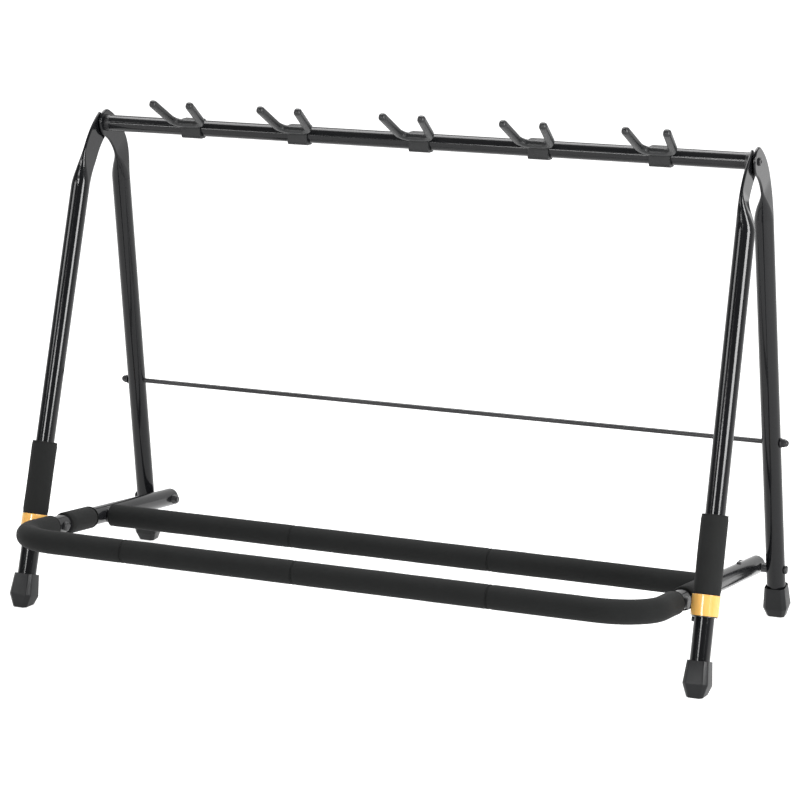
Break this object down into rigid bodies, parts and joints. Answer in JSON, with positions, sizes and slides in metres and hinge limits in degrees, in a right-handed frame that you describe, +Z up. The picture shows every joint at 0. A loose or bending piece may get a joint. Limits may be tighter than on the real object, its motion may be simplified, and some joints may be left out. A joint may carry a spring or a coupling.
{
  "type": "guitar rack",
  "caption": "Folding floor rack for guitars: two A-frame legs joined by a top rail with sliding neck yokes, and a foam-padded tubular base that pivots on the legs.",
  "frame": {"origin": "on the floor, under the centre of the bounding box, with the rack standing open", "axes": "+X along the top rail towards the rack's right side as seen from the guitars' side, which faces -Y; +Y to the back; +Z up"},
  "size_m": [0.9906, 0.4884, 0.6762],
  "materials": {
    "leg_enamel": "gloss",
    "base_enamel": "gloss",
    "rail_enamel": "gloss",
    "bar_foam": "matte",
    "grip_foam": "matte",
    "yellow_plastic": "gloss",
    "black_plastic": "satin",
    "foot_rubber": "satin",
    "saddle_plastic": "satin",
    "yoke_rubber": "matte",
    "core_steel": "satin",
    "plug_plastic": "satin",
    "washer_nylon": "satin",
    "black_hardware": "satin"
  },
  "bodies": {
    "front_frame": {"top_rail": "rail_enamel", "rail_end_plugs": "plug_plastic", "apex_bolts": "black_hardware", "apex_washers": "washer_nylon", "stop_studs": "black_hardware", "front_leg_right": "leg_enamel", "front_leg_left": "leg_enamel", "front_foot_right": "foot_rubber", "front_foot_left": "foot_rubber"},
    "rear_frame": {"rear_leg_right": "leg_enamel", "rear_leg_left": "leg_enamel", "rear_foot_right": "foot_rubber", "rear_foot_left": "foot_rubber", "brace_rod": "black_hardware", "brace_washers": "black_hardware", "brace_cap_nuts": "black_hardware", "rear_pivot_bolts": "black_hardware", "rear_pivot_spacers": "plug_plastic", "rear_pivot_nuts": "black_hardware"},
    "base_frame": {"base_tube": "base_enamel", "rear_crossbar": "base_enamel", "arm_end_plugs": "plug_plastic", "arm_rivet": "black_hardware", "collar_pivot_bolts": "black_hardware", "collar_pivot_spacers": "plug_plastic", "arm_sleeves": "bar_foam", "front_foam_corner_left": "bar_foam", "front_foam_left": "bar_foam", "front_foam_right": "bar_foam", "front_foam_corner_right": "bar_foam", "rear_foam_left": "bar_foam", "rear_foam_middle": "bar_foam", "rear_foam_right": "bar_foam"},
    "collar_left": {"collar_left": "yellow_plastic", "slide_tube_left": "black_plastic", "grip_left": "grip_foam"},
    "collar_right": {"collar_right": "yellow_plastic", "slide_tube_right": "black_plastic", "grip_right": "grip_foam"},
    "hanger_1": {"saddle_1": "saddle_plastic", "yoke_cover_1": "yoke_rubber", "yoke_core_1": "core_steel"},
    "hanger_2": {"saddle_2": "saddle_plastic", "yoke_cover_2": "yoke_rubber", "yoke_core_2": "core_steel"},
    "hanger_3": {"saddle_3": "saddle_plastic", "yoke_cover_3": "yoke_rubber", "yoke_core_3": "core_steel"},
    "hanger_4": {"saddle_4": "saddle_plastic", "yoke_cover_4": "yoke_rubber", "yoke_core_4": "core_steel"},
    "hanger_5": {"saddle_5": "saddle_plastic", "yoke_cover_5": "yoke_rubber", "yoke_core_5": "core_steel"}
  },
  "joints": [
    {"name": "fold", "type": "hinge", "parent": "front_frame", "child": "rear_frame", "pos_m": [0, 0.09237, 0.6323], "axis": [-1, 0, 0], "range_deg": [0, 26.52]},
    {"name": "base_pivot", "type": "hinge", "parent": "rear_frame", "child": "base_frame", "pos_m": [0, 0.21887, 0.0672], "axis": [-1, 0, 0], "range_deg": [0, 62.3]},
    {"name": "collar_slide_left", "type": "slide", "parent": "front_frame", "child": "collar_left", "axis": [0.0096, 0.303, 0.9529], "range_m": [0, 0.2992]},
    {"name": "collar_slide_right", "type": "slide", "parent": "front_frame", "child": "collar_right", "axis": [-0.0096, 0.303, 0.9529], "range_m": [0, 0.2992]},
    {"name": "hanger_slide_1", "type": "slide", "parent": "front_frame", "child": "hanger_1", "axis": [1, 0, 0], "range_m": [-0.1, 0.045]},
    {"name": "hanger_slide_2", "type": "slide", "parent": "front_frame", "child": "hanger_2", "axis": [1, 0, 0], "range_m": [-0.045, 0.045]},
    {"name": "hanger_slide_3", "type": "slide", "parent": "front_frame", "child": "hanger_3", "axis": [1, 0, 0], "range_m": [-0.045, 0.045]},
    {"name": "hanger_slide_4", "type": "slide", "parent": "front_frame", "child": "hanger_4", "axis": [1, 0, 0], "range_m": [-0.045, 0.045]},
    {"name": "hanger_slide_5", "type": "slide", "parent": "front_frame", "child": "hanger_5", "axis": [1, 0, 0], "range_m": [-0.045, 0.08]}
  ],
  "couplings": [
    {"joint": "base_pivot", "follows": "fold", "ratio": 2.348},
    {"joint": "collar_slide_left", "follows": "fold", "m_per_rad": 0.646},
    {"joint": "collar_slide_right", "follows": "fold", "m_per_rad": 0.646}
  ]
}
